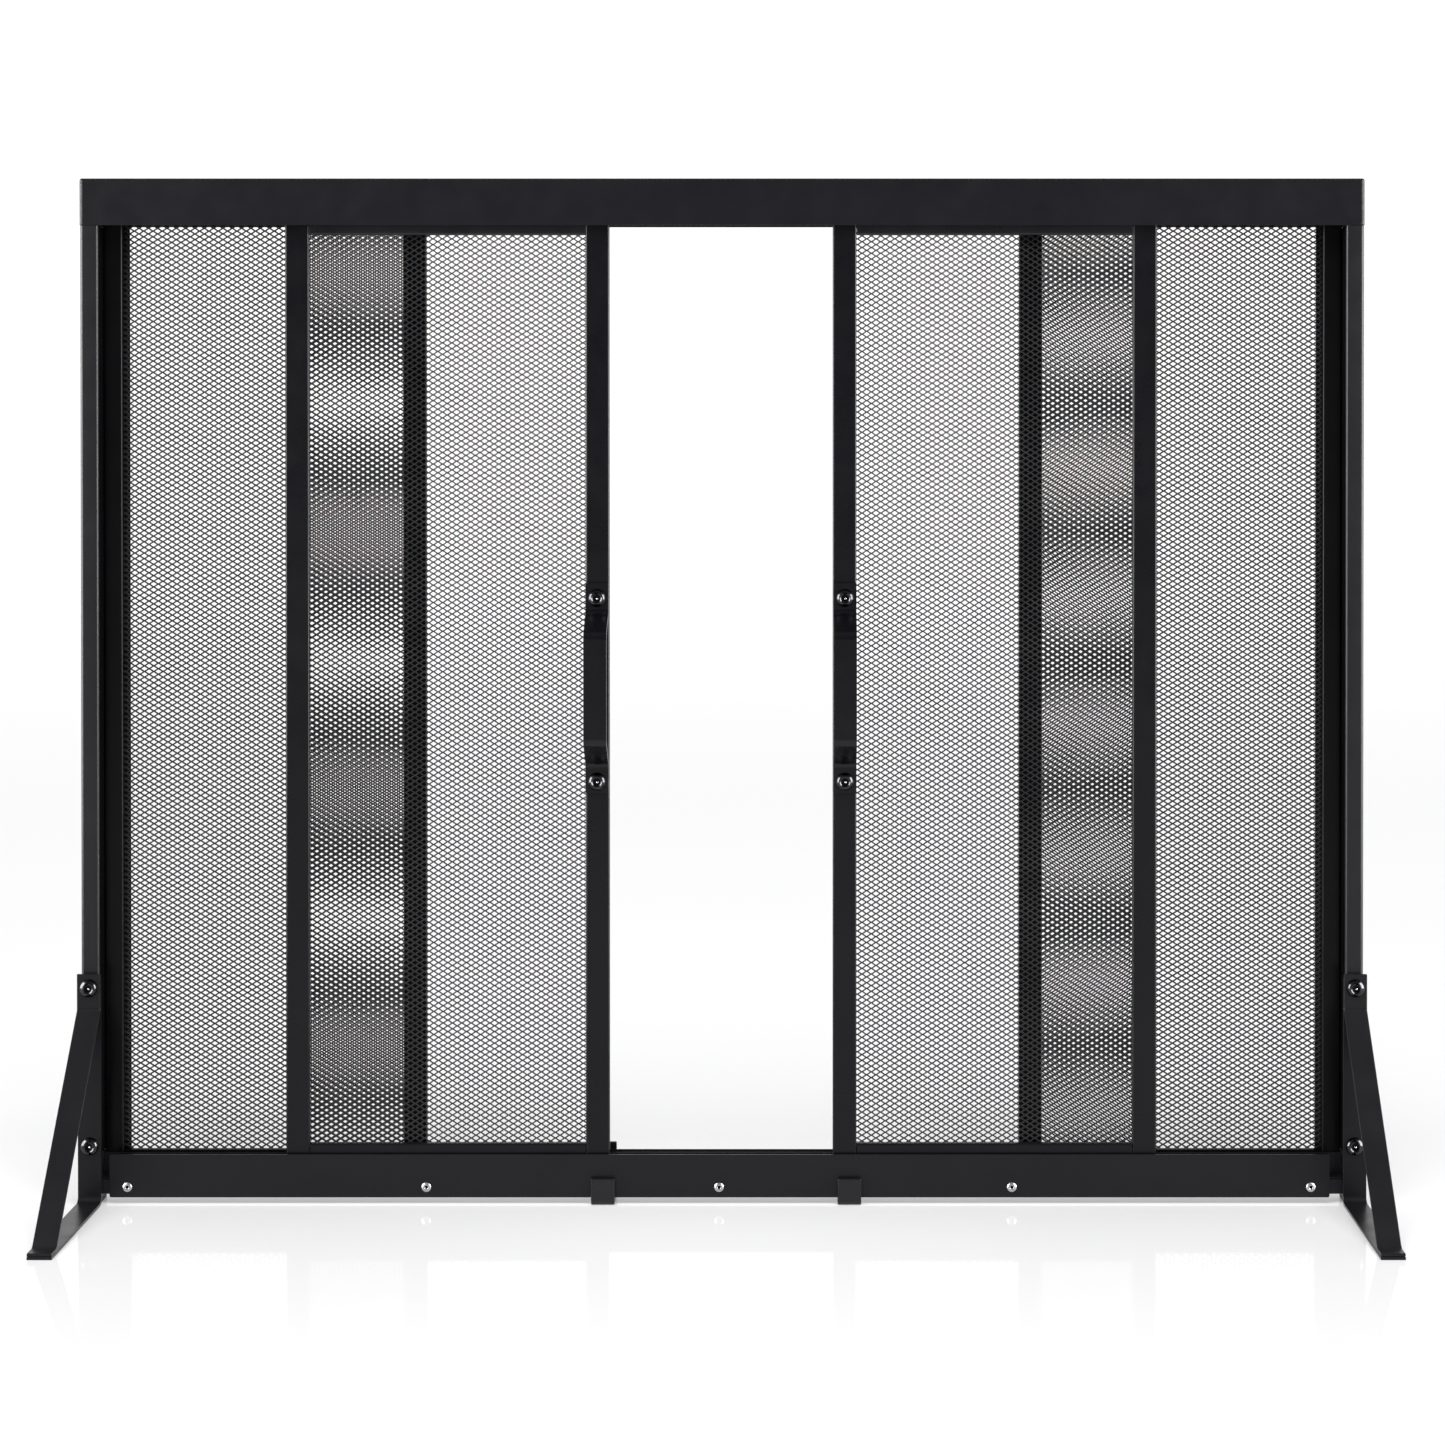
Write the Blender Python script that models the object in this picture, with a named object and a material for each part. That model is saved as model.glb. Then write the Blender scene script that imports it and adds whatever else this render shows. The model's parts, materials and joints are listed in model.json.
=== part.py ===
"""Fireplace screen with two fixed mesh panels and two sliding mesh doors. Metres, +Z up, front towards -Y."""

import math

import bmesh
import bpy
from mathutils import Vector

# Overall frame. Depths (D_...) run back from the top rail's front face.
WIDTH = 0.9886
HEIGHT = 0.7905
FRONT_Y = 0.06855
GAP = 0.0002

RAIL_HEIGHT = 0.0360
RAIL_DEPTH = 0.028
RAIL_WALL = 0.0012
RAIL_ROUND = 0.0018

POST_INNER_X = 0.4799
POST_OUTER_X = 0.4941
POST_D = (0.0003, 0.0277)
POST_WALL = 0.0012
POST_ROUND = 0.0027
POST_TOP = HEIGHT - RAIL_HEIGHT - GAP
INSERT_LENGTH = (0.022, 0.018)
CAP_THICKNESS = 0.0040
CAP_PLUG = 0.012

BAR_HALF = 0.4796
BAR_D = (0.0036, 0.0258)
BAR_Z = (0.0070, 0.0190)
BAR_WALL = 0.0012

PLATE_X = (-0.4728, 0.4684)
PLATE_D = (0.0019, 0.0034)
PLATE_Z = (0.0050, 0.0381)
PLATE_CORNER = 0.0014

TRACK_SHEET = 0.0012
TRACK_FRONT_D = 0.0037
TRACK_DIVIDER_D = (0.0145, 0.0155)
TRACK_REAR_D = 0.0259
LOWER_TRACK_Z = (0.0192, 0.0371)
UPPER_TRACK_Z = (0.7572, 0.7891)

RIVET_MIDDLE_X = -0.0025
RIVET_OFFSETS = (0.2258, 0.4565)
RIVET_Z = 0.0129
RIVET_HEAD_R = 0.0036
RIVET_BORE_R = 0.0013
RIVET_SHANK_R = 0.0020

# Sliding doors, in the front slot of both tracks.
DOOR_X = (0.0861, 0.3361)
DOOR_Z = (0.0278, 0.7653)
DOOR_D = (0.0057, 0.0137)
DOOR_BAR = 0.0180
DOOR_STILE = 0.0184
DOOR_MESH_D = (0.0139, 0.0142)
DOOR_SHIFT = -0.0010

# Fixed panels, in the rear slot.
PANEL_X = (0.2295, 0.4793)
PANEL_Z = (0.0207, 0.7772)
PANEL_D = (0.0163, 0.0239)
PANEL_BAR = 0.0180
PANEL_OUTER_STILE = 0.0145
PANEL_MESH_D = (0.0241, 0.0244)

FRAME_WALL = 0.0010
FRAME_ROUND = 0.0015
MESH_LAP = 0.0065

GLIDE_PLUG = 0.010
GLIDE_D = (0.0060, 0.0134)
LOWER_TRACK_FLOOR = LOWER_TRACK_Z[0] + TRACK_SHEET
GLIDE_TOP = 0.7752

# Bent flat-bar pulls on the doors' leading stiles.
HANDLE_X = 0.0956
HANDLE_WIDTH = 0.0176
HANDLE_T = 0.0030
HANDLE_Z = (0.3170, 0.4790)
HANDLE_RAISED_Z = (0.3400, 0.4554)
HANDLE_GRIP_Z = (0.3577, 0.4403)
HANDLE_STANDOFF = 0.025
HANDLE_BOLT_Z = (0.3260, 0.4675)
BEND_R = 0.0060

# Triangular feet of bent strip.
FOOT_X = 0.4872
FOOT_WIDTH = 0.0180
FOOT_T = 0.0023
FOOT_REACH = 0.1668
FOOT_TOP = 0.1785
FOOT_BEND_Z = 0.1505
FOOT_LIP = 0.0160
FOOT_BOLT_Z = (0.1677, 0.0453)

# J-shaped clips under the bottom rail.
CLIP_X = 0.0950
CLIP_SHIFT = 0.0030
CLIP_WIDTH = 0.0182
CLIP_T = 0.0034
CLIP_FRONT_TOP = 0.0204
CLIP_REAR_TOP = 0.0425
CLIP_D = (-0.0035, 0.0297)

BOLT_HEAD_R = 0.0070
BOLT_HEAD_H = 0.0037
BOLT_R = 0.0030
BOLT_HOLE_R = 0.0032
BOLT_HEX = 0.0042
BOLT_SOCKET = 0.0027
ROUND_STEPS = 24
SMOOTH_ANGLE = 35.0

PAINT = ("powder_coat", (0.014, 0.014, 0.016), 0.38, 0.0)
MESH = ("mesh_black", (0.012, 0.012, 0.013), 0.45, 0.0)
BOLT = ("bolt_steel", (0.30, 0.30, 0.31), 0.22, 1.0)
RIVET = ("rivet_aluminium", (0.72, 0.72, 0.73), 0.30, 1.0)
PLASTIC = ("cap_plastic", (0.020, 0.020, 0.020), 0.55, 0.0)


def clear_scene():
    for item in list(bpy.data.objects):
        bpy.data.objects.remove(item, do_unlink=True)


def material(spec):
    """The named Principled material, made once."""
    name, colour, roughness, metallic = spec
    made = bpy.data.materials.get(name)
    if made:
        return made
    made = bpy.data.materials.new(name)
    made.use_nodes = True
    shader = made.node_tree.nodes["Principled BSDF"]
    shader.inputs["Base Color"].default_value = (*colour, 1.0)
    shader.inputs["Roughness"].default_value = roughness
    shader.inputs["Metallic"].default_value = metallic
    made.diffuse_color = (*colour, 1.0)
    return made


def add_node(name, bm, spec, origin=(0.0, 0.0, 0.0)):
    """Turn a bmesh in world coordinates into an object whose origin is at the given point."""
    bmesh.ops.recalc_face_normals(bm, faces=bm.faces)
    bmesh.ops.translate(bm, verts=bm.verts, vec=-Vector(origin))
    mesh = bpy.data.meshes.new(name)
    bm.to_mesh(mesh)
    bm.free()
    mesh.shade_smooth()
    mesh.set_sharp_from_angle(angle=math.radians(SMOOTH_ANGLE))
    mesh.materials.append(material(spec))
    node = bpy.data.objects.new(name, mesh)
    node.location = origin
    bpy.context.scene.collection.objects.link(node)
    return node


def depth(value):
    """World y of a depth behind the top rail's front face."""
    return FRONT_Y + value


def span_y(pair):
    return depth(pair[0]), depth(pair[1])


def side_span(side, pair):
    """World x limits, low first, of a span given outwards from the centre on one side."""
    ends = (side * pair[0], side * pair[1])
    return min(ends), max(ends)


def place(axis, a, b, along):
    """A point from two cross-section coordinates and one along the axis."""
    if axis == "X":
        return Vector((along, a, b))
    if axis == "Y":
        return Vector((a, along, b))
    return Vector((a, b, along))


def rounded_rectangle(low_a, high_a, low_b, high_b, radius, steps=3):
    """Corner-rounded loop of cross-section points."""
    corners = (
        (high_a - radius, high_b - radius, 0.0),
        (low_a + radius, high_b - radius, 90.0),
        (low_a + radius, low_b + radius, 180.0),
        (high_a - radius, low_b + radius, 270.0),
    )
    loop = []
    for centre_a, centre_b, start in corners:
        for step in range(steps + 1):
            turn = math.radians(start + 90.0 * step / steps)
            loop.append((centre_a + radius * math.cos(turn), centre_b + radius * math.sin(turn)))
    return loop


def prism(axis, loop, start, end):
    """Solid prism of one cross-section loop."""
    bm = bmesh.new()
    first = [bm.verts.new(place(axis, a, b, start)) for a, b in loop]
    last = [bm.verts.new(place(axis, a, b, end)) for a, b in loop]
    bm.faces.new(first)
    bm.faces.new(list(reversed(last)))
    for i in range(len(loop)):
        j = (i + 1) % len(loop)
        bm.faces.new((first[i], first[j], last[j], last[i]))
    return bm


def tube(axis, limits_a, limits_b, wall, start, end, radius=FRAME_ROUND):
    """Rectangular tube with rounded corners and open ends."""
    outer = rounded_rectangle(*limits_a, *limits_b, radius)
    inner_a = (limits_a[0] + wall, limits_a[1] - wall)
    inner_b = (limits_b[0] + wall, limits_b[1] - wall)
    inner = rounded_rectangle(*inner_a, *inner_b, max(radius - wall, 0.0002))
    bm = bmesh.new()
    rings = []
    for loop, along in ((outer, start), (outer, end), (inner, end), (inner, start)):
        rings.append([bm.verts.new(place(axis, a, b, along)) for a, b in loop])
    count = len(outer)
    for index in range(4):
        near = rings[index]
        far = rings[(index + 1) % 4]
        for i in range(count):
            j = (i + 1) % count
            bm.faces.new((near[i], near[j], far[j], far[i]))
    return bm


def box(x, y, z, radius=0.0):
    """Solid box, with its vertical edges rounded if a radius is given."""
    if radius:
        return prism("Z", rounded_rectangle(*x, *y, radius), z[0], z[1])
    loop = [(x[0], y[0]), (x[1], y[0]), (x[1], y[1]), (x[0], y[1])]
    return prism("Z", loop, z[0], z[1])


def ring_stack(rings):
    """Closed body through rings of equal point count, capped at both ends."""
    bm = bmesh.new()
    made = [[bm.verts.new(point) for point in ring] for ring in rings]
    count = len(made[0])
    for near, far in zip(made, made[1:]):
        for i in range(count):
            j = (i + 1) % count
            bm.faces.new((near[i], near[j], far[j], far[i]))
    bm.faces.new(made[0])
    bm.faces.new(list(reversed(made[-1])))
    return bm


def circle(centre, radius, y):
    """Ring of points about a Y-pointing axis through (x, z)."""
    points = []
    for step in range(ROUND_STEPS):
        turn = 2.0 * math.pi * step / ROUND_STEPS
        x = centre[0] + radius * math.cos(turn)
        points.append(Vector((x, y, centre[1] + radius * math.sin(turn))))
    return points


def hexagon(centre, across, y):
    """Ring with the same point count as a circle, laid along a hexagon."""
    points = []
    for step in range(ROUND_STEPS):
        turn = 2.0 * math.pi * step / ROUND_STEPS
        off = (turn + math.pi / 6.0) % (math.pi / 3.0) - math.pi / 6.0
        radius = 0.5 * across / math.cos(off)
        x = centre[0] + radius * math.cos(turn)
        points.append(Vector((x, y, centre[1] + radius * math.sin(turn))))
    return points


def lathe_ring(centre, profile):
    """Ring-shaped body: a closed (radius, y) profile turned about a Y-pointing axis."""
    bm = bmesh.new()
    made = [[bm.verts.new(point) for point in circle(centre, r, y)] for r, y in profile]
    rings = len(made)
    for index in range(rings):
        near = made[index]
        far = made[(index + 1) % rings]
        for i in range(ROUND_STEPS):
            j = (i + 1) % ROUND_STEPS
            bm.faces.new((near[i], near[j], far[j], far[i]))
    return bm


def fillet(path, radius, steps=5):
    """Round the inner corners of a 2-D path."""
    points = [Vector(path[0])]
    for before, corner, after in zip(path, path[1:], path[2:]):
        corner = Vector(corner)
        inward = (Vector(before) - corner).normalized()
        outward = (Vector(after) - corner).normalized()
        half = 0.5 * inward.angle(outward)
        reach = radius / math.tan(half)
        centre = corner + (inward + outward).normalized() * (radius / math.sin(half))
        start = corner + inward * reach - centre
        end = corner + outward * reach - centre
        turn = math.atan2(start.x * end.y - start.y * end.x, start.dot(end))
        for step in range(steps + 1):
            angle = turn * step / steps
            cos, sin = math.cos(angle), math.sin(angle)
            spoke = Vector((start.x * cos - start.y * sin, start.x * sin + start.y * cos))
            points.append(centre + spoke)
    points.append(Vector(path[-1]))
    return points


def strip_loop(path, thickness):
    """Outline of a bent strip whose middle line is the path."""
    left, right = [], []
    last = len(path) - 1
    for index, point in enumerate(path):
        before = path[max(index - 1, 0)]
        after = path[min(index + 1, last)]
        first = (point - before).normalized() if index else (after - point).normalized()
        second = (after - point).normalized() if index < last else first
        mean = (first + second).normalized()
        normal = Vector((-mean.y, mean.x))
        reach = 0.5 * thickness / max(mean.dot(first), 0.2)
        left.append(point + normal * reach)
        right.append(point - normal * reach)
    return [tuple(p) for p in left] + [tuple(p) for p in reversed(right)]


def bent_strip(path, radius, thickness, x_limits):
    """Flat bar bent in the Y-Z plane, as wide as the x limits."""
    return prism("X", strip_loop(fillet(path, radius), thickness), *x_limits)


def drill(node, points, radius, y_limits):
    """Cut round holes along Y at the given (x, z) points."""
    for point in points:
        rings = [circle(point, radius, y) for y in y_limits]
        cutter = add_node(node.name + "_cutter", ring_stack(rings), PAINT)
        cut = node.modifiers.new("hole", "BOOLEAN")
        cut.operation = "DIFFERENCE"
        cut.solver = "EXACT"
        cut.object = cutter
        bpy.context.view_layer.update()
        graph = bpy.context.evaluated_depsgraph_get()
        result = bpy.data.meshes.new_from_object(node.evaluated_get(graph))
        node.modifiers.remove(cut)
        old = node.data
        node.data = result
        bpy.data.meshes.remove(old)
        bpy.data.objects.remove(cutter, do_unlink=True)


def side_name(side):
    return "left" if side < 0 else "right"


def corners(x, y, z):
    return [Vector((a, b, z)) for a, b in ((x[0], y[0]), (x[1], y[0]), (x[1], y[1]), (x[0], y[1]))]


def trough():
    """Top rail: inverted channel with closed ends and rounded outer edges."""
    low = HEIGHT - RAIL_HEIGHT
    x = (-WIDTH / 2, WIDTH / 2)
    y = (depth(0.0), depth(RAIL_DEPTH))
    inner_x = (x[0] + RAIL_WALL, x[1] - RAIL_WALL)
    inner_y = (y[0] + RAIL_WALL, y[1] - RAIL_WALL)
    rings = (
        corners(x, y, HEIGHT),
        corners(x, y, low),
        corners(inner_x, inner_y, low),
        corners(inner_x, inner_y, HEIGHT - RAIL_WALL),
    )
    bm = ring_stack(rings)
    bm.verts.ensure_lookup_table()
    top = set(bm.verts[:4])
    rounded = [e for e in bm.edges if top & set(e.verts)]
    bmesh.ops.bevel(
        bm, geom=rounded, offset=RAIL_ROUND, segments=3, profile=0.5, affect="EDGES"
    )
    return bm


def track_loop(floor_z, lip_z, front_lip=True):
    """Cross-section (y, z) of a two-slot track: floor sheet, one or two lips and a divider."""
    sheet = math.copysign(TRACK_SHEET, lip_z - floor_z)
    front, rear = depth(TRACK_FRONT_D), depth(TRACK_REAR_D)
    divider = span_y(TRACK_DIVIDER_D)
    inner = floor_z + sheet
    loop = [
        (front, floor_z),
        (rear, floor_z),
        (rear, lip_z),
        (rear - TRACK_SHEET, lip_z),
        (rear - TRACK_SHEET, inner),
        (divider[1], inner),
        (divider[1], lip_z),
        (divider[0], lip_z),
        (divider[0], inner),
    ]
    if not front_lip:
        return loop + [(front, inner)]
    inside = front + TRACK_SHEET
    return loop + [(inside, inner), (inside, lip_z), (front, lip_z)]


def rivet_points():
    """(x, z) of each rivet, from left to right."""
    near, far = RIVET_OFFSETS
    return [(RIVET_MIDDLE_X + step, RIVET_Z) for step in (-far, -near, 0.0, near, far)]


def add_rails():
    add_node("top_rail", trough(), PAINT)
    upper = track_loop(UPPER_TRACK_Z[1], UPPER_TRACK_Z[0])
    add_node("top_track", prism("X", upper, -BAR_HALF, BAR_HALF), PAINT)
    lower = track_loop(LOWER_TRACK_Z[0], LOWER_TRACK_Z[1], front_lip=False)
    add_node("bottom_track", prism("X", lower, -BAR_HALF, BAR_HALF), PAINT)
    bar_y = span_y(BAR_D)
    bar = tube("X", bar_y, BAR_Z, BAR_WALL, -BAR_HALF, BAR_HALF)
    holes = rivet_points()
    reach = (depth(0.0), depth(0.0080))
    hole_r = RIVET_SHANK_R + GAP
    drill(add_node("bottom_bar", bar, PAINT), holes, hole_r, reach)
    outline = rounded_rectangle(*PLATE_X, *PLATE_Z, PLATE_CORNER)
    plate = prism("Y", outline, *span_y(PLATE_D))
    drill(add_node("front_rail", plate, PAINT), holes, hole_r, reach)


def add_rivets():
    """Pop rivets: domed flange, hollow shank and a flared tail inside the bar."""
    face = depth(PLATE_D[0]) - 0.0001
    tail = depth(BAR_D[0] + BAR_WALL) + 0.0001
    profile = (
        (RIVET_BORE_R, face - 0.0006),
        (RIVET_HEAD_R * 0.50, face - 0.0011),
        (RIVET_HEAD_R * 0.80, face - 0.0008),
        (RIVET_HEAD_R, face - 0.0002),
        (RIVET_HEAD_R, face),
        (RIVET_SHANK_R, face),
        (RIVET_SHANK_R, tail),
        (RIVET_SHANK_R * 1.45, tail + 0.0002),
        (RIVET_SHANK_R * 1.30, tail + 0.0026),
        (RIVET_BORE_R, tail + 0.0028),
    )
    for index, point in enumerate(rivet_points(), start=1):
        add_node("rivet_%d" % index, lathe_ring(point, profile), RIVET)


def add_post(side):
    """Side post tube between a plastic cap and an insert that carries the top rail."""
    x = side_span(side, (POST_INNER_X, POST_OUTER_X))
    y = span_y(POST_D)
    name = side_name(side) + "_post"
    bm = tube("Z", x, y, POST_WALL, CAP_THICKNESS + GAP, POST_TOP, POST_ROUND)
    holes = [(side * FOOT_X, z) for z in FOOT_BOLT_Z]
    drill(add_node(name, bm, PAINT), holes, BOLT_HOLE_R, (depth(-0.0030), depth(0.0060)))
    slack = POST_WALL + 0.0003
    inner_x = (x[0] + slack, x[1] - slack)
    inner_y = (y[0] + slack, y[1] - slack)
    wide = rounded_rectangle(*x, *y, POST_ROUND)
    narrow = rounded_rectangle(*inner_x, *inner_y, 0.0008)
    insert_z = (POST_TOP - INSERT_LENGTH[0], POST_TOP + INSERT_LENGTH[1])
    add_node(name + "_insert", box(inner_x, inner_y, insert_z, 0.0008), PLASTIC)
    levels = (
        (wide, 0.0),
        (wide, CAP_THICKNESS),
        (narrow, CAP_THICKNESS),
        (narrow, CAP_THICKNESS + CAP_PLUG),
    )
    rings = [[Vector((a, b, z)) for a, b in loop] for loop, z in levels]
    add_node(name + "_cap", ring_stack(rings), PLASTIC)


def bolt_body(x, z, seat_depth, length):
    """Button-head socket screw seated on a face, pointing backwards."""
    centre = (x, z)
    seat = depth(seat_depth) - 0.0001
    rings = [circle(centre, BOLT_R, seat + length), circle(centre, BOLT_R, seat)]
    dome = ((1.0, 0.0), (1.0, 0.12), (0.94, 0.42), (0.82, 0.72), (0.66, 0.92), (0.50, 1.0))
    for share, rise in dome:
        rings.append(circle(centre, BOLT_HEAD_R * share, seat - BOLT_HEAD_H * rise))
    face = seat - BOLT_HEAD_H
    rings.append(hexagon(centre, BOLT_HEX, face))
    rings.append(hexagon(centre, BOLT_HEX, face + BOLT_SOCKET))
    return ring_stack(rings)


def add_foot(side):
    """Foot: an upright-and-base strip with a diagonal brace, bolted to the post."""
    name = side_name(side) + "_foot"
    x = side_span(side, (FOOT_X - FOOT_WIDTH / 2, FOOT_X + FOOT_WIDTH / 2))
    half = FOOT_T / 2
    leg = depth(POST_D[0] - GAP - half)
    toe = depth(-FOOT_REACH)
    path = [(leg, FOOT_TOP - 0.003), (leg, half), (toe, half)]
    base = add_node(name + "_base", bent_strip(path, BEND_R, FOOT_T, x), PAINT)
    tab = leg - FOOT_T - GAP
    lip = half + FOOT_T + GAP
    path = [(tab, FOOT_TOP), (tab, FOOT_BEND_Z), (toe + FOOT_LIP, lip), (toe, lip)]
    brace = add_node(name + "_brace", bent_strip(path, BEND_R, FOOT_T, x), PAINT)
    upper = (side * FOOT_X, FOOT_BOLT_Z[0])
    lower = (side * FOOT_X, FOOT_BOLT_Z[1])
    drill(base, (upper, lower), BOLT_HOLE_R, (leg - 0.0016, leg + 0.003))
    drill(brace, (upper,), BOLT_HOLE_R, (tab - 0.003, tab + 0.003))
    seats = (tab - half - FRONT_Y, leg - half - FRONT_Y)
    for label, point, seat in zip(("upper", "lower"), (upper, lower), seats):
        add_node(name + "_bolt_" + label, bolt_body(*point, seat, 0.0150), BOLT)


def add_clip(side):
    """J-shaped strip clip hooked round the bottom rail and standing on the floor."""
    centre = side * CLIP_X + CLIP_SHIFT
    x = (centre - CLIP_WIDTH / 2, centre + CLIP_WIDTH / 2)
    half = CLIP_T / 2
    front, rear = depth(CLIP_D[0] + half), depth(CLIP_D[1] - half)
    path = [(front, CLIP_FRONT_TOP), (front, half), (rear, half), (rear, CLIP_REAR_TOP)]
    add_node(side_name(side) + "_clip", bent_strip(path, 0.0024, CLIP_T, x), PAINT)


def add_frame(name, side, x, y, z, bars, mesh_y, origin):
    """Four tubes round a mesh sheet fixed to their back. bars: inner stile, outer stile, rails."""
    inner = side_span(side, (x[0], x[0] + bars[0]))
    outer = side_span(side, (x[1] - bars[1], x[1]))
    stiles = {}
    for label, limits in (("inner_stile", inner), ("outer_stile", outer)):
        bm = tube("Z", limits, y, FRAME_WALL, z[0], z[1])
        stiles[label] = add_node(name + "_" + label, bm, PAINT, origin)
    rail = side_span(side, (x[0] + bars[0] + GAP, x[1] - bars[1] - GAP))
    for label, limits in (("bottom_bar", (z[0], z[0] + bars[2])), ("top_bar", (z[1] - bars[2], z[1]))):
        bm = tube("X", y, limits, FRAME_WALL, *rail)
        add_node(name + "_" + label, bm, PAINT, origin)
    sheet_x = side_span(side, (x[0] + bars[0] - MESH_LAP, x[1] - bars[1] + MESH_LAP))
    sheet_z = (z[0] + bars[2] - MESH_LAP, z[1] - bars[2] + MESH_LAP)
    add_node(name + "_mesh", box(sheet_x, mesh_y, sheet_z), MESH, origin)
    return stiles


def add_panel(side):
    bars = (PANEL_BAR, PANEL_OUTER_STILE, PANEL_BAR)
    name = side_name(side) + "_panel"
    add_frame(name, side, PANEL_X, span_y(PANEL_D), PANEL_Z, bars, span_y(PANEL_MESH_D), (0, 0, 0))


def glide(x, low, high, joint_z, plug_up):
    """Nylon shoe with a plug that fits a stile's open end."""
    y = span_y(GLIDE_D)
    shoe = rounded_rectangle(x[0] + 0.0005, x[1] - 0.0005, *y, 0.0008)
    slack = FRAME_WALL + 0.0003
    door_y = span_y(DOOR_D)
    inner_y = (door_y[0] + slack, door_y[1] - slack)
    plug = rounded_rectangle(x[0] + slack, x[1] - slack, *inner_y, 0.0005)
    if plug_up:
        levels = ((shoe, low), (shoe, high), (plug, high), (plug, joint_z + GLIDE_PLUG))
    else:
        levels = ((plug, joint_z - GLIDE_PLUG), (plug, low), (shoe, low), (shoe, high))
    return ring_stack([[Vector((a, b, z)) for a, b in loop] for loop, z in levels])


def add_glides(side, name, origin):
    spans = (
        ("inner", (DOOR_X[0], DOOR_X[0] + DOOR_STILE)),
        ("outer", (DOOR_X[1] - DOOR_STILE, DOOR_X[1])),
    )
    for label, span in spans:
        x = side_span(side, span)
        low = glide(x, LOWER_TRACK_FLOOR + 0.0001, DOOR_Z[0] - GAP, DOOR_Z[0], True)
        add_node(name + "_glide_" + label, low, PLASTIC, origin)
        high = glide(x, DOOR_Z[1] + GAP, GLIDE_TOP, DOOR_Z[1], False)
        add_node(name + "_guide_" + label, high, PLASTIC, origin)


def add_handle(side, stile, origin):
    """Pull of bent flat bar with two screws into the leading stile."""
    centre = side * HANDLE_X
    x = (centre - HANDLE_WIDTH / 2, centre + HANDLE_WIDTH / 2)
    near = depth(DOOR_D[0] - GAP) - HANDLE_T / 2
    far = near - HANDLE_STANDOFF
    path = [
        (near, HANDLE_Z[0]),
        (near, HANDLE_RAISED_Z[0]),
        (far, HANDLE_GRIP_Z[0]),
        (far, HANDLE_GRIP_Z[1]),
        (near, HANDLE_RAISED_Z[1]),
        (near, HANDLE_Z[1]),
    ]
    name = side_name(side) + "_handle"
    bar = add_node(name, bent_strip(path, BEND_R, HANDLE_T, x), PAINT, origin)
    points = [(centre, z) for z in HANDLE_BOLT_Z]
    drill(bar, points, BOLT_HOLE_R, (near - 0.004, near + 0.0025))
    drill(stile, points, BOLT_HOLE_R, (near, depth(DOOR_D[0] + 0.0030)))
    seat = near - HANDLE_T / 2 - FRONT_Y
    for label, point in zip(("lower", "upper"), points):
        add_node(name + "_bolt_" + label, bolt_body(*point, seat, 0.0090), BOLT, origin)


def add_door(side):
    name = side_name(side) + "_door"
    y = span_y(DOOR_D)
    middle = side * 0.5 * (DOOR_X[0] + DOOR_X[1])
    origin = (middle, 0.5 * (y[0] + y[1]), DOOR_Z[0])
    bars = (DOOR_STILE, DOOR_STILE, DOOR_BAR)
    stiles = add_frame(name, side, DOOR_X, y, DOOR_Z, bars, span_y(DOOR_MESH_D), origin)
    add_handle(side, stiles["inner_stile"], origin)
    add_glides(side, name, origin)
    for node in bpy.data.objects:
        if node.name.startswith((name, side_name(side) + "_handle")):
            node.location.x += DOOR_SHIFT


def build():
    clear_scene()
    add_rails()
    add_rivets()
    for side in (-1, 1):
        add_post(side)
        add_foot(side)
        add_clip(side)
        add_panel(side)
        add_door(side)


build()
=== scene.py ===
"""Looks for the sliding-door fireplace screen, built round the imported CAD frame."""

import json
import math

import bmesh
import bpy
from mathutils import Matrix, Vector


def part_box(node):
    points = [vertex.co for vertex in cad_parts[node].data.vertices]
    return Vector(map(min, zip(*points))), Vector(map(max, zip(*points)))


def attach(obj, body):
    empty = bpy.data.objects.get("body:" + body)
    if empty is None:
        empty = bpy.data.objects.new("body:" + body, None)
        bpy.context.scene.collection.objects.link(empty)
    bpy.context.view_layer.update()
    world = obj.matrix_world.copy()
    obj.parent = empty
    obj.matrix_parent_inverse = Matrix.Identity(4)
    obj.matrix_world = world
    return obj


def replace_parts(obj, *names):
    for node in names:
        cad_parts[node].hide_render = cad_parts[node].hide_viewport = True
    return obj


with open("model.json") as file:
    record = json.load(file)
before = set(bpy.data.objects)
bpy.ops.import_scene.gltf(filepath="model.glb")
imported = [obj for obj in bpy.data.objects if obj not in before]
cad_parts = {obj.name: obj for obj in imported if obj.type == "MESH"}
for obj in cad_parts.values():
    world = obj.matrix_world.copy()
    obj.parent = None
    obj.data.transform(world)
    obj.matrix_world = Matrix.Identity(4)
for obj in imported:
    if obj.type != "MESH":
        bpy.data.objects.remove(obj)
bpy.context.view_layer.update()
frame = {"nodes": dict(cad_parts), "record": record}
nodes = frame["nodes"]
node_body = {n: b for b, ns in frame["record"]["behaviour"]["bodies"].items() for n in ns}
node_slot = {s["node"]: s["material_slot"] for s in frame["record"]["subparts"]}
scene = bpy.context.scene
front_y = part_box("top_rail")[0].y


# ---------------------------------------------------------------- materials

NOISE_ROUGHNESS = 0.55
NOISE_RANGE = (0.3, 0.7)
CLOUD_SCALE = 9.0
GLOSS_SCALE = 45.0
PEEL_SCALE = 700.0
SPECK_SCALE = 1500.0
SPECK_SHARE = 0.4


def new_material(name):
    """A node material holding one Principled shader; returns (material, tree, shader)."""
    made = bpy.data.materials.new(name)
    made.use_nodes = True
    tree = made.node_tree
    return made, tree, tree.nodes["Principled BSDF"]


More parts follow.
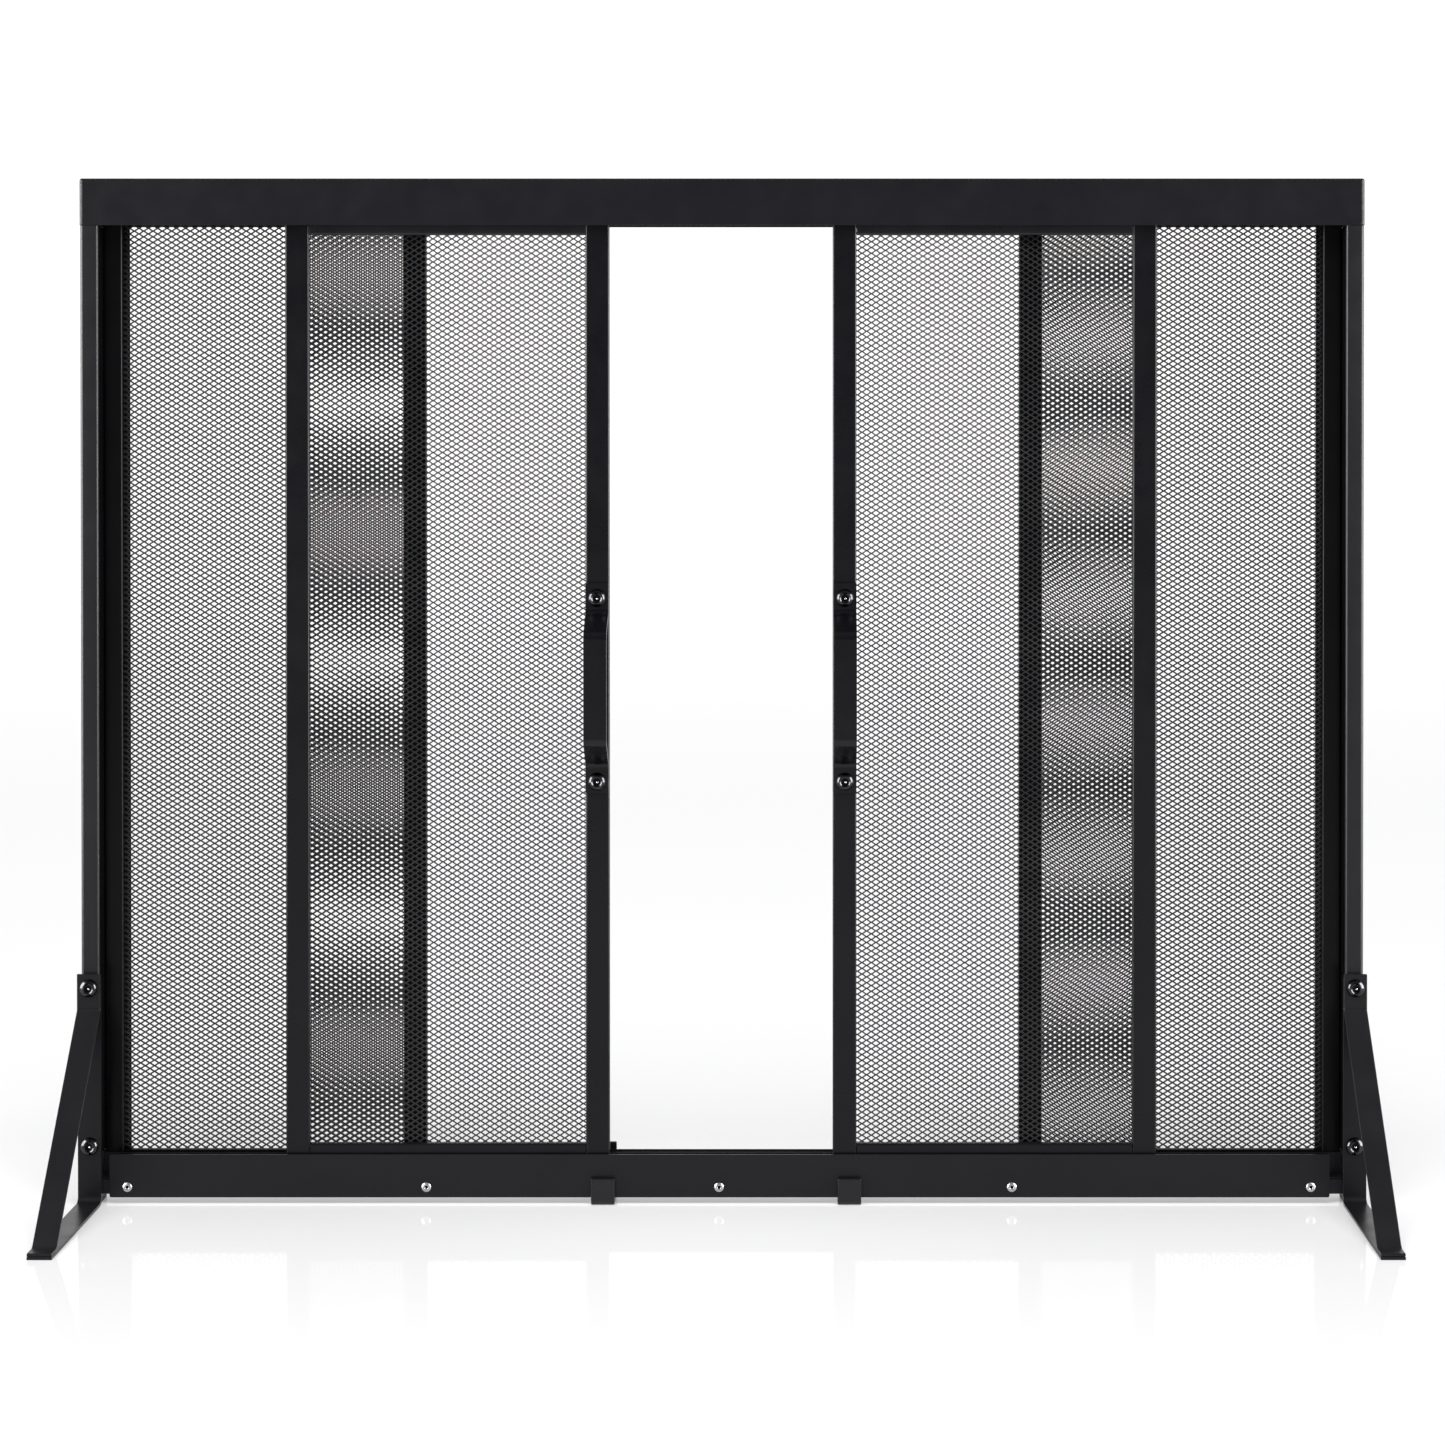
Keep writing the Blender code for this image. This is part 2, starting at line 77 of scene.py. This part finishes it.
def noise(tree, scale, detail):
    """Noise in object metres; scale is cycles per metre. Returns its value socket."""
    coords = tree.nodes.new("ShaderNodeTexCoord")
    node = tree.nodes.new("ShaderNodeTexNoise")
    node.inputs["Scale"].default_value = scale
    node.inputs["Detail"].default_value = detail
    node.inputs["Roughness"].default_value = NOISE_ROUGHNESS
    tree.links.new(coords.outputs["Object"], node.inputs["Vector"])
    return node.outputs["Fac"]


def spread(tree, value, low, high):
    """Map the noise's middle range onto low..high."""
    node = tree.nodes.new("ShaderNodeMapRange")
    node.inputs["From Min"].default_value = NOISE_RANGE[0]
    node.inputs["From Max"].default_value = NOISE_RANGE[1]
    node.inputs["To Min"].default_value = low
    node.inputs["To Max"].default_value = high
    tree.links.new(value, node.inputs["Value"])
    return node.outputs["Result"]


def blend_colour(tree, factor, first, second):
    """Mix two colours by a factor's socket."""
    node = tree.nodes.new("ShaderNodeMix")
    node.data_type = "RGBA"
    node.inputs["A"].default_value = (*first, 1.0)
    node.inputs["B"].default_value = (*second, 1.0)
    tree.links.new(factor, node.inputs["Factor"])
    return node.outputs["Result"]


def bump(tree, height, distance, normal=None):
    """Normals raised by a height; distance is the full height in metres."""
    node = tree.nodes.new("ShaderNodeBump")
    node.inputs["Distance"].default_value = distance
    tree.links.new(height, node.inputs["Height"])
    if normal:
        tree.links.new(normal, node.inputs["Normal"])
    return node.outputs["Normal"]


def painted(name, dark, light, rough, grain, specular):
    """Black powder coat: orange-peel grain, faint cloudiness and uneven gloss."""
    made, tree, shader = new_material(name)
    cloud = noise(tree, CLOUD_SCALE, 4.0)
    speck = noise(tree, SPECK_SCALE, 2.0)
    colour = blend_colour(tree, spread(tree, cloud, 0.0, 1.0), dark, light)
    tree.links.new(colour, shader.inputs["Base Color"])
    gloss = noise(tree, GLOSS_SCALE, 5.0)
    tree.links.new(spread(tree, gloss, *rough), shader.inputs["Roughness"])
    peel = noise(tree, PEEL_SCALE, 3.0)
    normal = bump(tree, peel, grain)
    normal = bump(tree, speck, grain * SPECK_SHARE, normal)
    tree.links.new(normal, shader.inputs["Normal"])
    shader.inputs["Specular IOR Level"].default_value = specular
    return made


def metal(name, dark, light, rough, scratch):
    """Bare or plated metal with fine turned marks and smudges."""
    made, tree, shader = new_material(name)
    cloud = noise(tree, 220.0, 4.0)
    tree.links.new(
        blend_colour(tree, spread(tree, cloud, 0.0, 1.0), dark, light),
        shader.inputs["Base Color"],
    )
    smudge = noise(tree, 420.0, 5.0)
    tree.links.new(spread(tree, smudge, *rough), shader.inputs["Roughness"])
    marks = noise(tree, 2500.0, 2.0)
    tree.links.new(bump(tree, marks, scratch), shader.inputs["Normal"])
    shader.inputs["Metallic"].default_value = 1.0
    return made


def moulded(name):
    """Matt black nylon with a spark-eroded texture."""
    made, tree, shader = new_material(name)
    cloud = noise(tree, 60.0, 3.0)
    colour = blend_colour(tree, spread(tree, cloud, 0.0, 1.0), (0.012,) * 3, (0.02,) * 3)
    tree.links.new(colour, shader.inputs["Base Color"])
    grain = noise(tree, 2600.0, 2.0)
    tree.links.new(spread(tree, grain, 0.5, 0.7), shader.inputs["Roughness"])
    tree.links.new(bump(tree, grain, 0.00004), shader.inputs["Normal"])
    return made


# One black powder coat in copies whose base colours differ by part: the lighter copies are
# painted light and the darker ones painted shade, for how light falls on each part, not
# different paints.
RAIL_SHADE_TONE = painted(
    "rail_coat_shade_tone", (0.0076, 0.0072, 0.0096), (0.0104, 0.0100, 0.0128),
    (0.30, 0.38), 0.00003, 0.22,
)
FRAME_SHADE_TONE = painted(
    "frame_coat_shade_tone", (0.0130, 0.0127, 0.0152), (0.0172, 0.0168, 0.0200),
    (0.30, 0.38), 0.00003, 0.22,
)
DOOR_SHADE_TONE = painted(
    "door_coat_shade_tone", (0.0046, 0.0044, 0.0062), (0.0066, 0.0064, 0.0086),
    (0.24, 0.34), 0.00002, 0.21,
)
# The doors' top bars get a lighter copy of the coat: painted light that offsets the shade under
# the top rail.
TOP_BAR_LIT_TONE = painted(
    "top_bar_coat_painted_light", (0.0120, 0.0116, 0.0148), (0.0160, 0.0154, 0.0190),
    (0.24, 0.34), 0.00002, 0.30,
)
HANDLE_SHADE_TONE = painted(
    "handle_coat_shade_tone", (0.0026, 0.0024, 0.0038), (0.0038, 0.0036, 0.0052),
    (0.22, 0.30), 0.00002, 0.28,
)
FOOT_SHADE_TONE = painted(
    "foot_coat_shade_tone", (0.0074, 0.0071, 0.0088), (0.0106, 0.0102, 0.0122),
    (0.28, 0.36), 0.00003, 0.22,
)
CLIP_SHADE_TONE = painted(
    "clip_coat_shade_tone", (0.0080, 0.0075, 0.0090), (0.0115, 0.0110, 0.0128),
    (0.24, 0.32), 0.00003, 0.32,
)
# The fixed panels' frames get a very dark copy of the coat: painted shade for their place
# recessed behind the doors and posts.
PANEL_PAINTED_SHADE = painted(
    "panel_coat_painted_shade", (0.0012, 0.0011, 0.0017), (0.0022, 0.0021, 0.0029),
    (0.24, 0.34), 0.00002, 0.08,
)
# Near-black copy of the coat: painted shade for the recess beside each post, also laid on the
# meshes' selvedges and inside the bolts' sockets.
RECESS_PAINTED_SHADE = painted(
    "recess_painted_shade", (0.0016, 0.0016, 0.0020), (0.0030, 0.0029, 0.0036),
    (0.26, 0.36), 0.00002, 0.14,
)
# The mesh's coat is toned lighter than the frames' copies: painted sheen standing in for glints
# along the strands.
MESH_PAINTED_SHEEN = painted(
    "mesh_coat_painted_sheen", (0.0140, 0.0138, 0.0152), (0.0250, 0.0246, 0.0266),
    (0.24, 0.38), 0.00001, 0.46,
)
BOLT_METAL = metal(
    "plated_steel", (0.032, 0.032, 0.034), (0.055, 0.055, 0.060),
    (0.10, 0.20), 0.000004,
)
POLISHED = metal(
    "polished_steel", (0.55, 0.55, 0.56), (0.75, 0.75, 0.76),
    (0.06, 0.12), 0.000002,
)
RIVET_METAL = metal(
    "rivet_alloy", (0.36, 0.36, 0.37), (0.50, 0.50, 0.51),
    (0.30, 0.44), 0.000006,
)
NYLON = moulded("black_nylon")
# Light grey paint: a painted highlight along the top rail's end edges.
RIM_PAINTED_HIGHLIGHT = painted(
    "rim_painted_highlight", (0.085, 0.083, 0.085), (0.145, 0.142, 0.145),
    (0.30, 0.45), 0.00002, 0.40,
)
# Near-black matt paint: painted shade, laid on strips at the posts' inner faces and on the
# rivets' pin stubs.
SHADE_BLACK = painted(
    "black_felt", (0.0010, 0.0010, 0.0013), (0.0022, 0.0022, 0.0026),
    (0.85, 0.95), 0.00008, 0.03,
)


def node_material(name):
    """The material for a CAD node, by its slot and then by its place."""
    slot = node_slot[name]
    if slot == "bolt_steel":
        return BOLT_METAL
    if slot == "rivet_aluminium":
        return RIVET_METAL
    if slot == "cap_plastic":
        return NYLON
    if slot == "mesh_black":
        return MESH_PAINTED_SHEEN
    # By place, each part takes a copy of the coat toned for its light: the panels' and their
    # outer stiles' copies are painted shade, the top bars' copy is painted light and the mesh's
    # copy is painted sheen.
    if "_panel_outer" in name:
        return RECESS_PAINTED_SHADE
    if "_panel_" in name:
        return PANEL_PAINTED_SHADE
    if "_handle" in name:
        return HANDLE_SHADE_TONE
    if "_door_top_bar" in name:
        return TOP_BAR_LIT_TONE
    if "_door_" in name:
        return DOOR_SHADE_TONE
    if "_foot_" in name:
        return FOOT_SHADE_TONE
    if "_clip" in name:
        return CLIP_SHADE_TONE
    return RAIL_SHADE_TONE if "rail" in name or "track" in name else FRAME_SHADE_TONE


# ---------------------------------------------------------------- pieces

SMOOTH_ANGLE = math.radians(50.0)
BEVEL_ANGLE = math.radians(38.0)
FLAT_ANGLE = math.radians(0.6)
WELD_DISTANCE = 0.00002
FACE_WEIGHT = 80


def add_piece(name, mesh, material, like):
    """Link a mesh as a piece with the body of a CAD node and the given material."""
    mesh.materials.clear()
    mesh.materials.append(material)
    piece = bpy.data.objects.new(name, mesh)
    scene.collection.objects.link(piece)
    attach(piece, node_body[like])
    return piece


def finished(bm, name):
    """Turn a bmesh into a mesh."""
    mesh = bpy.data.meshes.new(name)
    bm.to_mesh(mesh)
    bm.free()
    return mesh


def flat_faced(mesh):
    """The mesh with normals weighted by face area, so flats stay flat beside rounded edges."""
    holder = bpy.data.objects.new("holder", mesh)
    scene.collection.objects.link(holder)
    weighted = holder.modifiers.new("weighted", "WEIGHTED_NORMAL")
    weighted.keep_sharp = True
    weighted.weight = FACE_WEIGHT
    bpy.context.view_layer.update()
    graph = bpy.context.evaluated_depsgraph_get()
    result = bpy.data.meshes.new_from_object(holder.evaluated_get(graph))
    result.name = mesh.name
    bpy.data.objects.remove(holder, do_unlink=True)
    bpy.data.meshes.remove(mesh)
    return result


def add_rounded(name, width, segments):
    """Stand for a CAD node with a copy whose sharp edges are rounded and curves smooth."""
    bm = bmesh.new()
    bm.from_mesh(nodes[name].data)
    bmesh.ops.remove_doubles(bm, verts=bm.verts, dist=WELD_DISTANCE)
    bmesh.ops.dissolve_limit(bm, angle_limit=FLAT_ANGLE, verts=bm.verts, edges=bm.edges)
    bmesh.ops.recalc_face_normals(bm, faces=bm.faces)
    if width:
        sharp = [e for e in bm.edges if e.is_manifold and e.calc_face_angle(0.0) > BEVEL_ANGLE]
        bmesh.ops.bevel(
            bm, geom=sharp, offset=width, offset_type="OFFSET", segments=segments,
            profile=0.5, affect="EDGES", clamp_overlap=True, loop_slide=True,
        )
    mesh = finished(bm, name + "_detail")
    mesh.shade_smooth()
    mesh.set_sharp_from_angle(angle=SMOOTH_ANGLE)
    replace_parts(add_piece(name + "_detail", flat_faced(mesh), node_material(name), name), name)


# The first word found in a node's name gives its edges' rounding and segments.
EDGE_ROUNDING = (
    ("rivet", 0.0, 1),
    ("glide", 0.0004, 2),
    ("guide", 0.0004, 2),
    ("cap", 0.0004, 2),
    ("track", 0.00025, 2),
    ("handle", 0.0007, 3),
    ("foot", 0.0007, 3),
    ("clip", 0.0010, 3),
    ("front_rail", 0.0005, 3),
    ("", 0.00015, 2),
)
TURNED_ANGLE = math.radians(40.0)
AXIS_R = 1e-6


def turned(name, x, z, profile, material, like, steps=36):
    """A solid of revolution about a line along Y; profile is (radius, y) from tip to tip."""
    bm = bmesh.new()
    rings = []
    for radius, y in profile:
        if radius < AXIS_R:
            rings.append([bm.verts.new((x, y, z))])
            continue
        angles = [math.tau * step / steps for step in range(steps)]
        rings.append([
            bm.verts.new((x + radius * math.cos(a), y, z + radius * math.sin(a))) for a in angles
        ])
    for first, second in zip(rings, rings[1:]):
        for step in range(steps):
            after = (step + 1) % steps
            corners = [
                first[step % len(first)], first[after % len(first)],
                second[after % len(second)], second[step % len(second)],
            ]
            bm.faces.new(list(dict.fromkeys(corners)))
    bmesh.ops.recalc_face_normals(bm, faces=bm.faces)
    mesh = finished(bm, name)
    mesh.shade_smooth()
    mesh.set_sharp_from_angle(angle=TURNED_ANGLE)
    return add_piece(name, mesh, material, like)


HEAD_DEPTH = 0.0037
SHANK_R = 0.0030
SOCKET_R = 0.0033
SOCKET_DEPTH = 0.0030
SOCKET_LINER = 0.0006
# The head's rim to its seat, as shares of the head's radius and depth.
DOME = ((0.58, 0.0), (0.70, 0.08), (0.83, 0.27), (0.94, 0.56), (0.99, 0.85), (1.0, 1.0))
POINT_ASIDE = 0.0005
POINT_BELOW = 0.0004
MANDREL_R = 0.00122


def add_bolt(name):
    """Button-head screw with a polished point at its bottom; its socket is lined with near-black
    paint as painted shade.
    """
    low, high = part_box(name)
    x, z = (low.x + high.x) / 2, (low.z + high.z) / 2
    radius, tip = (high.x - low.x) / 2, low.y
    floor_y, seat_y = tip + SOCKET_DEPTH, tip + HEAD_DEPTH
    profile = [(0.0, floor_y), (SOCKET_R, floor_y), (SOCKET_R, tip + 0.0005)]
    profile += [(radius * share, tip + HEAD_DEPTH * drop) for share, drop in DOME]
    profile += [(SHANK_R, seat_y), (SHANK_R, high.y), (0.0, high.y)]
    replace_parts(turned(name + "_detail", x, z, profile, BOLT_METAL, name), name)
    # The liner is painted shade: a near-black sleeve inside the socket.
    wall = SOCKET_R - 0.00005
    bore = wall - SOCKET_LINER
    socket_shade_liner = (
        (0.0, floor_y - 0.0004), (bore, floor_y - 0.0004), (bore, tip + 0.0008),
        (wall, tip + 0.0006), (wall, floor_y - 0.00005), (0.0, floor_y - 0.00005),
    )
    turned(name + "_socket_shade", x, z, socket_shade_liner, RECESS_PAINTED_SHADE, name)
    point = (
        (0.0, floor_y - 0.0016), (0.0005, floor_y - 0.0015), (0.0010, floor_y - 0.0011),
        (0.0013, floor_y - 0.0005), (0.0, floor_y - 0.0005),
    )
    turned(name + "_point", x + POINT_ASIDE, z - POINT_BELOW, point, POLISHED, name, 20)


def add_mandrel(name):
    """The stub of the pulling pin left inside a pop rivet, in near-black paint as painted shade
    in the rivet's hole.
    """
    low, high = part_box(name)
    x, z = (low.x + high.x) / 2, (low.z + high.z) / 2
    front, back = low.y + 0.0006, high.y - 0.0004
    stub = ((0.0, front), (MANDREL_R, front + 0.0001), (MANDREL_R, back), (0.0, back))
    turned(name + "_mandrel", x, z, stub, SHADE_BLACK, name, 24)


def add_rounded_nodes():
    """Stand for every CAD node but the mesh sheets."""
    for name in sorted(nodes):
        if name.endswith("_mesh"):
            continue
        if "_bolt_" in name:
            add_bolt(name)
            continue
        if name.startswith("rivet"):
            add_mandrel(name)
        for key, width, segments in EDGE_ROUNDING:
            if key in name:
                add_rounded(name, width, segments)
                break


# ---------------------------------------------------------------- expanded mesh

# A diamond's long and short ways, and a knuckle's half length, half flat and half height.
MESH_LONG = 0.00724
MESH_SHORT = {"door": 0.004465, "panel": 0.004385}
KNUCKLE = {"door": (0.00114, 0.00012, 0.00054), "panel": (0.00123, 0.00012, 0.00067)}
MESH_THICK = 0.00034
MESH_TWIST = 0.00018
MESH_FORWARD = 0.0001


def lattice_sheet(low, high, short, knuckle, y_front, first, last):
    """Closed sheet of diamond-holed mesh, from one row of knuckles to another.

    Odd rows sit half a diamond aside. Each knuckle leans, its upper edge behind its
    lower one, as slitting and stretching leaves it. The last row holds only the ends of
    its strands unless it is the sheet's top row, so that a sheet above it can carry on.
    """
    half_long, half_short = MESH_LONG / 2, short / 2
    tip, flat, half = knuckle
    corners = ((-tip, 0), (-flat, -1), (flat, -1), (tip, 0), (flat, 1), (-flat, 1))
    top = int((high.z - low.z) / half_short)
    columns = int((high.x - low.x) / half_long)
    points, index = [], {}
    for row in range(first, min(last, top) + 1):
        for column in range(columns + 1):
            if (row + column) % 2:
                continue
            x = low.x + column * half_long
            z = low.z + row * half_short
            if x + tip > high.x or x - tip < low.x:
                continue
            index[row, column] = len(points)
            for dx, lean in corners:
                points.append((x + dx, y_front + MESH_TWIST * (1 + lean), z + half * lean))
    faces = []
    for (row, column), at in index.items():
        stub = row == last and last < top
        if not stub:
            faces.append((at, at + 1, at + 2, at + 3, at + 4, at + 5))
        above = index.get((row + 1, column + 1))
        if above is not None:
            faces.append((at + 4, at + 3, above + 1, above))
        below = index.get((row - 1, column + 1))
        if below is not None:
            faces.append((at + 3, at + 2, below, below + 5))
    return thicken(points, faces)


def thicken(points, faces):
    """Turn front faces into a closed slab."""
    count = len(points)
    verts = points + [(x, y + MESH_THICK, z) for x, y, z in points]
    seen = set()
    for face in faces:
        seen.update(zip(face, face[1:] + face[:1]))
    walls = [(b, a, a + count, b + count) for a, b in sorted(seen) if (b, a) not in seen]
    backs = [tuple(v + count for v in reversed(face)) for face in faces]
    mesh = bpy.data.meshes.new("sheet")
    mesh.from_pydata(verts, [], list(faces) + backs + walls)
    mesh.validate()
    return mesh


def add_meshes():
    """Each mesh sheet in two halves, the lower one standing for the CAD node."""
    for name in sorted(nodes):
        if not name.endswith("_mesh"):
            continue
        low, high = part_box(name)
        kind = "door" if "_door_" in name else "panel"
        short = MESH_SHORT[kind]
        rows = int((high.z - low.z) / (short / 2))
        for half, ends in (("lower", (0, rows // 2)), ("upper", (rows // 2, rows))):
            y_front = low.y - MESH_FORWARD
            sheet = lattice_sheet(low, high, short, KNUCKLE[kind], y_front, *ends)
            piece = add_piece(name + "_" + half, sheet, MESH_PAINTED_SHEEN, name)
            if half == "lower":
                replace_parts(piece, name)


# ---------------------------------------------------------------- strips

SELVEDGE_WIDTH = 0.0045
SELVEDGE_LAP = 0.0040
SELVEDGE_THICK = 0.0004
SELVEDGE_END_GAP = 0.0002
SHADE_STRIP_THICK = 0.0003
SHADE_STRIP_INSET = 0.0030
SHADE_STRIP_END_GAP = 0.0010
STRIP_ROUND = 0.00012
SEAM_SPAN = (0.0011, 0.0024)
SEAM_PROUD = 0.0002
SEAM_SUNK = 0.0004
SEAM_END_GAPS = (0.0004, 0.0012)


def strip(name, low, high, material, like):
    """A thin strip with rolled edges that rides with a CAD node."""
    bm = bmesh.new()
    bmesh.ops.create_cube(bm, size=1.0)
    bmesh.ops.scale(bm, verts=bm.verts, vec=high - low)
    bmesh.ops.translate(bm, verts=bm.verts, vec=(low + high) / 2)
    bmesh.ops.bevel(
        bm, geom=list(bm.edges), offset=STRIP_ROUND, offset_type="OFFSET", segments=3,
        profile=0.5, affect="EDGES", clamp_overlap=True,
    )
    mesh = finished(bm, name)
    mesh.shade_smooth()
    add_piece(name, flat_faced(mesh), material, like)


def add_selvedges():
    """The uncut edge each fixed mesh keeps beside its outer stile, in near-black paint as
    painted shade.
    """
    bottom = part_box("bottom_track")[1].z + SELVEDGE_END_GAP
    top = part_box("top_track")[0].z - SELVEDGE_END_GAP
    for side, name in ((-1, "left_panel"), (1, "right_panel")):
        sheet = name + "_mesh"
        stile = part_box(name + "_outer_stile")
        inner = stile[1].x if side < 0 else stile[0].x
        ends = sorted((inner + side * SELVEDGE_LAP, inner - side * SELVEDGE_WIDTH))
        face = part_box(sheet)[0].y + MESH_TWIST * 2 + MESH_THICK
        strip(
            sheet + "_selvedge", Vector((ends[0], face, bottom)),
            Vector((ends[1], face + SELVEDGE_THICK, top)), RECESS_PAINTED_SHADE, sheet,
        )


def add_post_shade_strips():
    """A near-black strip on each post's inner face, beside an opened door: painted shade for the
    unlit gap between post and panel.
    """
    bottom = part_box("front_rail")[1].z + SHADE_STRIP_END_GAP
    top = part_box("top_rail")[0].z - SHADE_STRIP_END_GAP
    for side, name in ((-1, "left_post"), (1, "right_post")):
        low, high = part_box(name)
        face = high.x if side < 0 else low.x
        ends = sorted((face, face - side * SHADE_STRIP_THICK))
        strip(
            name + "_felt", Vector((ends[0], low.y + SHADE_STRIP_INSET, bottom)),
            Vector((ends[1], high.y - SHADE_STRIP_INSET, top)), SHADE_BLACK, name,
        )


def add_rail_seams():
    """The cut edge of the rail's end flanges, folded round onto its front, in light paint as a
    painted highlight along the end edge.
    """
    low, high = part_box("top_rail")
    bottom, top = low.z + SEAM_END_GAPS[0], high.z - SEAM_END_GAPS[1]
    for end, inward, name in ((low.x, 1, "left"), (high.x, -1, "right")):
        edges = sorted(end + inward * step for step in SEAM_SPAN)
        strip(
            "top_rail_seam_" + name, Vector((edges[0], low.y - SEAM_PROUD, bottom)),
            Vector((edges[1], low.y + SEAM_SUNK, top)), RIM_PAINTED_HIGHLIGHT, "top_rail",
        )


add_rounded_nodes()
add_meshes()
add_selvedges()
add_post_shade_strips()
add_rail_seams()


# ---------------------------------------------------------------- studio

FLOOR_HALF = 9.0
BACK_GLOW = 1.10
FRONT_GLOW = 0.12
FACING_RANGE = (-0.93, -0.45)
TOP_SHARE = 0.25
TOP_RANGE = (0.35, 0.8)
SEEN_GLOW = 1.10
STRIP_AT = (2.2, -0.45, 0.75)
STRIP_TARGET = (0.4, 0.0, 0.4)
CAMERA_ASIDE = 0.065
CAMERA_DISTANCE = 2.49
CAMERA_HEIGHT = 0.60
CAMERA_TILT = math.radians(0.54)


def add_floor():
    """White floor with a faint mirror in it."""
    mesh = bpy.data.meshes.new("studio_floor")
    corners = [(-1, -1), (1, -1), (1, 1), (-1, 1)]
    mesh.from_pydata(
        [(x * FLOOR_HALF, y * FLOOR_HALF, 0.0) for x, y in corners], [], [(0, 1, 2, 3)]
    )
    made, tree, shader = new_material("studio_white")
    shader.inputs["Base Color"].default_value = (0.80, 0.80, 0.81, 1.0)
    shader.inputs["Roughness"].default_value = 0.05
    shader.inputs["IOR"].default_value = 1.18
    shader.inputs["Emission Color"].default_value = (1.0, 1.0, 1.0, 1.0)
    shader.inputs["Emission Strength"].default_value = 0.22
    mesh.materials.append(made)
    floor = bpy.data.objects.new("studio_floor", mesh)
    scene.collection.objects.link(floor)
    return floor


def eased(tree, value, inputs, outputs):
    """Map a value between two limits with soft ends."""
    node = tree.nodes.new("ShaderNodeMapRange")
    node.interpolation_type = "SMOOTHSTEP"
    node.inputs["From Min"].default_value = inputs[0]
    node.inputs["From Max"].default_value = inputs[1]
    node.inputs["To Min"].default_value = outputs[0]
    node.inputs["To Max"].default_value = outputs[1]
    tree.links.new(value, node.inputs["Value"])
    return node.outputs["Result"]


def add_world():
    """White studio: bright behind and at the sides, dim overhead and towards the front."""
    world = bpy.data.worlds.new("studio")
    scene.world = world
    world.use_nodes = True
    tree = world.node_tree
    shader = tree.nodes["Background"]
    coords = tree.nodes.new("ShaderNodeTexCoord")
    split = tree.nodes.new("ShaderNodeSeparateXYZ")
    tree.links.new(coords.outputs["Generated"], split.inputs["Vector"])
    facing = eased(tree, split.outputs["Y"], FACING_RANGE, (FRONT_GLOW, BACK_GLOW))
    top = eased(tree, split.outputs["Z"], TOP_RANGE, (1.0, TOP_SHARE))
    both = tree.nodes.new("ShaderNodeMath")
    both.operation = "MULTIPLY"
    tree.links.new(facing, both.inputs[0])
    tree.links.new(top, both.inputs[1])
    path = tree.nodes.new("ShaderNodeLightPath")
    seen = tree.nodes.new("ShaderNodeMix")
    seen.data_type = "FLOAT"
    tree.links.new(path.outputs["Is Camera Ray"], seen.inputs["Factor"])
    tree.links.new(both.outputs["Value"], seen.inputs["A"])
    seen.inputs["B"].default_value = SEEN_GLOW
    tree.links.new(seen.outputs["Result"], shader.inputs["Strength"])
    shader.inputs["Color"].default_value = (1.0, 1.0, 1.0, 1.0)


def add_light(name, location, target, size, power, mirrored):
    """An area light that only lights surfaces, or one seen only in their gloss."""
    data = bpy.data.lights.new(name, "AREA")
    data.shape = "RECTANGLE"
    data.size, data.size_y = size
    data.energy = power
    lamp = bpy.data.objects.new(name, data)
    lamp.location = location
    aim = Vector(target) - Vector(location)
    lamp.rotation_euler = aim.to_track_quat("-Z", "Y").to_euler()
    lamp.visible_glossy = mirrored
    lamp.visible_diffuse = not mirrored
    lamp.visible_camera = False
    scene.collection.objects.link(lamp)
    return lamp


def add_lights(floor):
    """A softbox above the front and a strip at each side, kept out of the floor's mirror."""
    add_light("softbox_top", (0.0, -1.2, 2.6), (0.0, 0.0, 0.3), (2.4, 1.6), 68.0, False)
    off_floor = bpy.data.collections.new("off_floor")
    off_floor.objects.link(floor)
    off_floor.collection_objects[0].light_linking.link_state = "EXCLUDE"
    for side in (-1, 1):
        place = (side * STRIP_AT[0], *STRIP_AT[1:])
        target = (side * STRIP_TARGET[0], *STRIP_TARGET[1:])
        strip_lamp = add_light("strip_side", place, target, (1.9, 1.9), 200.0, True)
        strip_lamp.light_linking.receiver_collection = off_floor


def add_camera():
    """Straight on, from a little right of the middle."""
    data = bpy.data.cameras.new("camera")
    data.lens = 80.65
    data.sensor_width = 36.0
    data.shift_x = -0.0582
    data.shift_y = -0.184
    camera = bpy.data.objects.new("camera", data)
    camera.location = (CAMERA_ASIDE, front_y - CAMERA_DISTANCE, CAMERA_HEIGHT)
    camera.rotation_euler = (math.radians(90.0) - CAMERA_TILT, 0.0, 0.0)
    scene.collection.objects.link(camera)
    scene.camera = camera


add_world()
add_lights(add_floor())
add_camera()
scene.view_settings.view_transform = "Standard"
